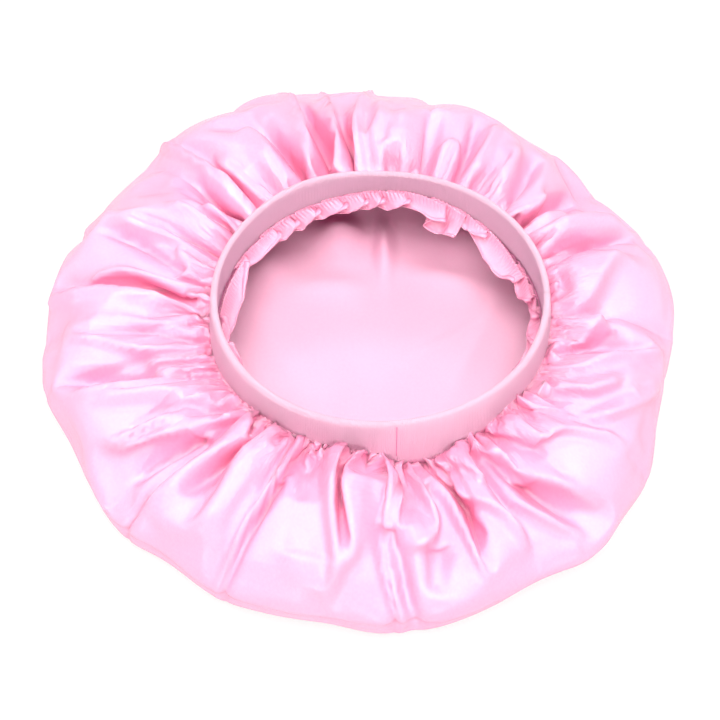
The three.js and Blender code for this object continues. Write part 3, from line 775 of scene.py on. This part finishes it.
def band_cover():
    """The knitted strip, folded over the elastic with its fold at the rim"""
    turns = np.arange(BAND_COLUMNS) * TURN / BAND_COLUMNS
    seam = edge_height(SEAM_HEIGHTS, turns) - BAND_OVERLAP
    rim = edge_height(RIM_HEIGHTS, turns)
    fold = BAND_THICKNESS / 2
    away = ((turns - JOIN_TURN + math.pi) % TURN - math.pi) * BAND_HALF_DEPTH
    groove = JOIN_DEPTH * np.exp(-((away / JOIN_HALF_WIDTH) ** 2))
    rows = []
    walls = np.linspace(0, 1, WALL_ROWS)
    top = rim - fold
    heights = [seam + (top - seam) * share for share in walls]
    for share, height in zip(walls, heights):
        bulge = WALL_BULGE * math.sin(math.pi * share)
        rows.append(oval_point(turns, band_lean(height) + bulge - groove, height))
    for step in range(1, RIM_STEPS):
        angle = math.pi * step / RIM_STEPS
        rows.append(oval_point(turns, fold * (math.cos(angle) - 1), top + fold * math.sin(angle)))
    for height in reversed(heights):
        rows.append(oval_point(turns, band_lean(height) - BAND_THICKNESS, height))
    grid = np.array(rows)[::-1]
    band = new_piece("band_cover_knit", grid.reshape(-1, 3), grid_faces(len(rows), BAND_COLUMNS))
    across = np.concatenate([[0], np.cumsum(np.linalg.norm(np.diff(grid[:, 0], axis=0), axis=-1))])
    flat = np.stack(np.broadcast_arrays(BAND_HALF_WIDTH * turns, across[:, None]), -1)
    lay_out(band, flat.reshape(-1, 2))
    return band


def dress(piece, node, slot, finishes, **thickness):
    """Gives a cloth its materials and its thickness, and puts it in the place of a node"""
    for finish in finishes:
        piece.data.materials.append(finish)
    solid = piece.modifiers.new("thickness", "SOLIDIFY")
    for setting, value in thickness.items():
        setattr(solid, setting, value)
    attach(piece, "root")
    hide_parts(node)


def new_group(name, inputs, outputs):
    """An empty shader node group with its sockets. Each socket is (name, kind)."""
    group = bpy.data.node_groups.new(name, "ShaderNodeTree")
    for direction, sockets in (("INPUT", inputs), ("OUTPUT", outputs)):
        for socket, kind in sockets:
            group.interface.new_socket(socket, in_out=direction, socket_type=f"NodeSocket{kind}")
    return group, group.nodes.new("NodeGroupInput"), group.nodes.new("NodeGroupOutput")


def feed(tree, socket, value):
    """Links an output to a socket, or sets the socket's own value"""
    if isinstance(value, bpy.types.NodeSocket):
        tree.links.new(value, socket)
    else:
        socket.default_value = value


def maths(tree, operation, *inputs):
    """A maths node with its inputs linked or set, and its output"""
    node = tree.nodes.new("ShaderNodeMath")
    node.operation = operation
    for socket, value in zip(node.inputs, inputs):
        feed(tree, socket, value)
    return node.outputs[0]


def vector_maths(tree, operation, vector):
    node = tree.nodes.new("ShaderNodeVectorMath")
    node.operation = operation
    tree.links.new(vector, node.inputs[0])
    return node


def noise(tree, vector, scale, detail=BROAD_DETAIL):
    node = tree.nodes.new("ShaderNodeTexNoise")
    node.inputs["Detail"].default_value = detail
    feed(tree, node.inputs["Vector"], vector)
    feed(tree, node.inputs["Scale"], scale)
    return node.outputs["Fac"]


def bumped(tree, height, distance):
    """The normal of a surface with this relief"""
    node = tree.nodes.new("ShaderNodeBump")
    node.inputs["Strength"].default_value = 1
    feed(tree, node.inputs["Height"], height)
    feed(tree, node.inputs["Distance"], distance)
    return node.outputs["Normal"]


def shaded(tree, share, shades):
    """Colour between two shades"""
    node = tree.nodes.new("ShaderNodeMix")
    node.data_type = "RGBA"
    feed(tree, node.inputs["Factor"], share)
    for name, shade in zip("AB", shades):
        node.inputs[name].default_value = (*shade, 1)
    return [socket for socket in node.outputs if socket.type == "RGBA"][0]


def texture_group(name, density):
    """A cloth's texture to be filled, and how far round its wave a place is, along and across"""
    given_sockets = (("Cloth", "Vector"), (density, "Float"), ("Depth", "Float"))
    group, given, out = new_group(name, given_sockets, (("Normal", "Vector"), ("Shade", "Float")))
    split = group.nodes.new("ShaderNodeSeparateXYZ")
    group.links.new(given.outputs["Cloth"], split.inputs[0])
    phase = maths(group, "MULTIPLY", given.outputs[density], TURN)
    along, across = (maths(group, "MULTIPLY", split.outputs[axis], phase) for axis in ("X", "Y"))
    return group, given, out, along, across


def weave_group():
    """Fine threads that cross, with slubs. Puts out a normal and a shade."""
    group, given, out, along, across = texture_group("satin_weave", "Threads Per Metre")
    crossing = maths(group, "MULTIPLY", maths(group, "SINE", along), maths(group, "SINE", across))
    slubs = noise(group, given.outputs["Cloth"], SLUB_SCALE, FINE_DETAIL)
    height = maths(group, "ADD", crossing, maths(group, "MULTIPLY", slubs, SLUB_WEIGHT))
    group.links.new(bumped(group, height, given.outputs["Depth"]), out.inputs["Normal"])
    group.links.new(maths(group, "SUBTRACT", slubs, 0.5), out.inputs["Shade"])
    return group


def knit_group():
    """Ribs of a warp knit with slanting stitches on them. Puts out a normal and a shade."""
    group, given, out, along, across = texture_group("rib_knit", "Ribs Per Metre")
    cloth = given.outputs["Cloth"]
    waver = maths(group, "MULTIPLY", noise(group, cloth, WAVER_SCALE), RIB_WAVER)
    ribs = maths(group, "SINE", maths(group, "ADD", along, waver))
    slant_across = maths(group, "MULTIPLY", across, SLANT_ACROSS)
    slant_along = maths(group, "MULTIPLY", along, SLANT_ALONG)
    slant = maths(group, "SINE", maths(group, "ADD", slant_across, slant_along))
    fuzz = noise(group, cloth, FUZZ_SCALE, FINE_DETAIL)
    relief = maths(group, "ADD", maths(group, "MULTIPLY", ribs, RIB_WEIGHT), slant)
    height = maths(group, "ADD", relief, fuzz)
    group.links.new(bumped(group, height, given.outputs["Depth"]), out.inputs["Normal"])
    group.links.new(maths(group, "MULTIPLY", height, KNIT_SHADE_SHARE), out.inputs["Shade"])
    return group


def ray_group():
    """Fine sharp folds from the gathered edge towards the middle of the cloth. Puts out a height."""
    values = [(name, "Float") for name in RAY_VALUES]
    group, given, out = new_group("gather_rays", (("Cloth", "Vector"), *values), (("Height", "Float"),))
    cloth = given.outputs["Cloth"]
    radius = vector_maths(group, "LENGTH", cloth).outputs["Value"]
    split = group.nodes.new("ShaderNodeSeparateXYZ")
    group.links.new(vector_maths(group, "NORMALIZE", cloth).outputs[0], split.inputs[0])
    place = group.nodes.new("ShaderNodeCombineXYZ")
    group.links.new(split.outputs["X"], place.inputs["X"])
    group.links.new(split.outputs["Y"], place.inputs["Y"])
    group.links.new(maths(group, "MULTIPLY", radius, given.outputs["Stretch"]), place.inputs["Z"])
    wave = noise(group, place.outputs[0], given.outputs["Rays"], RAY_DETAIL)
    valley = maths(group, "ABSOLUTE", maths(group, "MULTIPLY_ADD", wave, RAY_GAIN, -RAY_GAIN / 2))
    ridge = maths(group, "SUBTRACT", 1, valley)
    reach = group.nodes.new("ShaderNodeMapRange")
    reach.interpolation_type = "SMOOTHSTEP"
    group.links.new(radius, reach.inputs["Value"])
    group.links.new(given.outputs["Start Radius"], reach.inputs["From Min"])
    group.links.new(given.outputs["Full Radius"], reach.inputs["From Max"])
    group.links.new(maths(group, "MULTIPLY", ridge, reach.outputs["Result"]), out.inputs["Height"])
    return group


def new_material(name):
    """A material, its node tree and its main shader"""
    material = bpy.data.materials.new(name)
    material.use_nodes = True
    tree = material.node_tree
    return material, tree, tree.nodes["Principled BSDF"]


def add_texture(tree, group, cloth, values):
    """A node group that reads the cloth's coordinates, with these values"""
    node = tree.nodes.new("ShaderNodeGroup")
    node.node_tree = group
    tree.links.new(cloth, node.inputs["Cloth"])
    for socket, value in values.items():
        node.inputs[socket].default_value = value
    return node


def cloth_material(name, texture, shades, density, depth, values, rays=None):
    """Cloth with a weave or a knit in its own flat coordinates, as metres in a UV map"""
    material, tree, shader = new_material(name)
    place = tree.nodes.new("ShaderNodeUVMap")
    place.uv_map = "cloth"
    cloth = place.outputs[0]
    pattern = add_texture(tree, texture, cloth, {1: density, "Depth": depth})
    normal = pattern.outputs["Normal"]
    if rays:
        fold = add_texture(tree, rays, cloth, RAY_VALUES)
        normal = bumped(tree, fold.outputs["Height"], RAY_DEPTH)
        tree.links.new(pattern.outputs["Normal"], normal.node.inputs["Normal"])
    tree.links.new(normal, shader.inputs["Normal"])
    share = maths(tree, "ADD", noise(tree, cloth, SHADE_SCALE), pattern.outputs["Shade"])
    tree.links.new(shaded(tree, share, shades), shader.inputs["Base Color"])
    for socket, value in values.items():
        shader.inputs[socket].default_value = value
    return material


def twisted_material(name, shades, density):
    """Thread or covered elastic, with a fine twist in its own coordinates"""
    material, tree, shader = new_material(name)
    place = tree.nodes.new("ShaderNodeTexCoord")
    strands = noise(tree, place.outputs["Object"], density, FINE_DETAIL)
    tree.links.new(shaded(tree, strands, shades), shader.inputs["Base Color"])
    tree.links.new(bumped(tree, strands, TWIST_DEPTH), shader.inputs["Normal"])
    shader.inputs["Roughness"].default_value = TWIST_ROUGHNESS
    return material


def add_camera():
    data = bpy.data.cameras.new("camera")
    data.lens = VIEW_LENS
    data.sensor_width = FILM_WIDTH
    camera = linked(bpy.data.objects.new("camera", data))
    back = Vector((0, -math.cos(VIEW_ELEVATION), math.sin(VIEW_ELEVATION)))
    camera.location = VIEW_AIM + VIEW_DISTANCE * back
    camera.rotation_euler = (math.pi / 2 - VIEW_ELEVATION, 0, 0)
    bpy.context.scene.camera = camera


def add_lamp(name, place, size, watts):
    data = bpy.data.lights.new(name, "AREA")
    data.shape = "SQUARE"
    data.size = size
    data.energy = watts
    data.color = LAMP_COLOUR
    lamp = linked(bpy.data.objects.new(name, data))
    lamp.location = place
    lamp.rotation_euler = (Vector() - Vector(place)).to_track_quat("-Z", "Y").to_euler()


def seen_rays(tree):
    """One for the rays that show the background: the camera's, and those of gloss and glass"""
    path = tree.nodes.new("ShaderNodeLightPath")
    seen = maths(tree, "ADD", path.outputs["Is Camera Ray"], path.outputs["Is Glossy Ray"])
    return maths(tree, "ADD", seen, path.outputs["Is Transmission Ray"])


def add_stage():
    """A floor that looks white and keeps the bonnet's shadow"""
    bpy.ops.mesh.primitive_plane_add(size=FLOOR_SIZE, location=(0, 0, 0))
    floor = bpy.context.object
    floor.name = "floor"
    material, tree, shader = new_material("white_floor")
    shader.inputs["Base Color"].default_value = FLOOR_COLOUR
    shader.inputs["Roughness"].default_value = FLOOR_ROUGHNESS
    glow = tree.nodes.new("ShaderNodeEmission")
    glow.inputs["Strength"].default_value = 1
    mix = tree.nodes.new("ShaderNodeMixShader")
    tree.links.new(maths(tree, "MULTIPLY", seen_rays(tree), FLOOR_GLOW_SHARE), mix.inputs[0])
    tree.links.new(shader.outputs[0], mix.inputs[1])
    tree.links.new(glow.outputs[0], mix.inputs[2])
    tree.links.new(mix.outputs[0], tree.nodes["Material Output"].inputs[0])
    floor.data.materials.append(material)


def add_world():
    world = bpy.data.worlds.new("studio")
    bpy.context.scene.world = world
    world.use_nodes = True
    tree = world.node_tree
    background = tree.nodes["Background"]
    background.inputs["Color"].default_value = (1, 1, 1, 1)
    lit = maths(tree, "MULTIPLY_ADD", seen_rays(tree), 1 - WORLD_STRENGTH, WORLD_STRENGTH)
    tree.links.new(lit, background.inputs["Strength"])


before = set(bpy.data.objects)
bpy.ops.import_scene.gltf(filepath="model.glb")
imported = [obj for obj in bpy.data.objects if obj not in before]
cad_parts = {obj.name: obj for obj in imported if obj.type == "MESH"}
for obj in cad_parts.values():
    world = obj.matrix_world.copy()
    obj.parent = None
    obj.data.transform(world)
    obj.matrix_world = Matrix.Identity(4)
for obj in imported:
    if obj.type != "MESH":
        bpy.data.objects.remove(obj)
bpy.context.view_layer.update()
bpy.context.scene.view_settings.view_transform = "Standard"
add_camera()
add_stage()
add_world()
for lamp in LAMPS:
    add_lamp(*lamp)

weave, ribs, rays = weave_group(), knit_group(), ray_group()
satin = cloth_material("satin", weave, rays=rays, **SATIN_FINISH)
edge_satin = cloth_material("edge_satin", weave, **SATIN_FINISH)
wrong_side = cloth_material("satin_wrong_side", weave, **WRONG_SIDE_FINISH)
knit = cloth_material("knit", ribs, **KNIT_FINISH)
thread = twisted_material("thread", **THREAD_FINISH)
elastic = twisted_material("elastic", **ELASTIC_FINISH)

cap = satin_cap()
dress(cap, "satin_cap", "satin", (satin, wrong_side), thickness=CLOTH_THICKNESS, material_offset=1)
hem = turned_hem()
dress(hem, "turned_hem", "satin", (edge_satin,), thickness=HEM_THICKNESS, offset=0)
band = band_cover()
dress(band, "band_cover", "knit", (knit,), thickness=KNIT_THICKNESS)
for node in ("elastic_core", "seam_thread", "cover_join_thread", "elastic_join_thread"):
    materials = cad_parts[node].data.materials
    materials.clear()
    materials.append(elastic if node == "elastic_core" else thread)
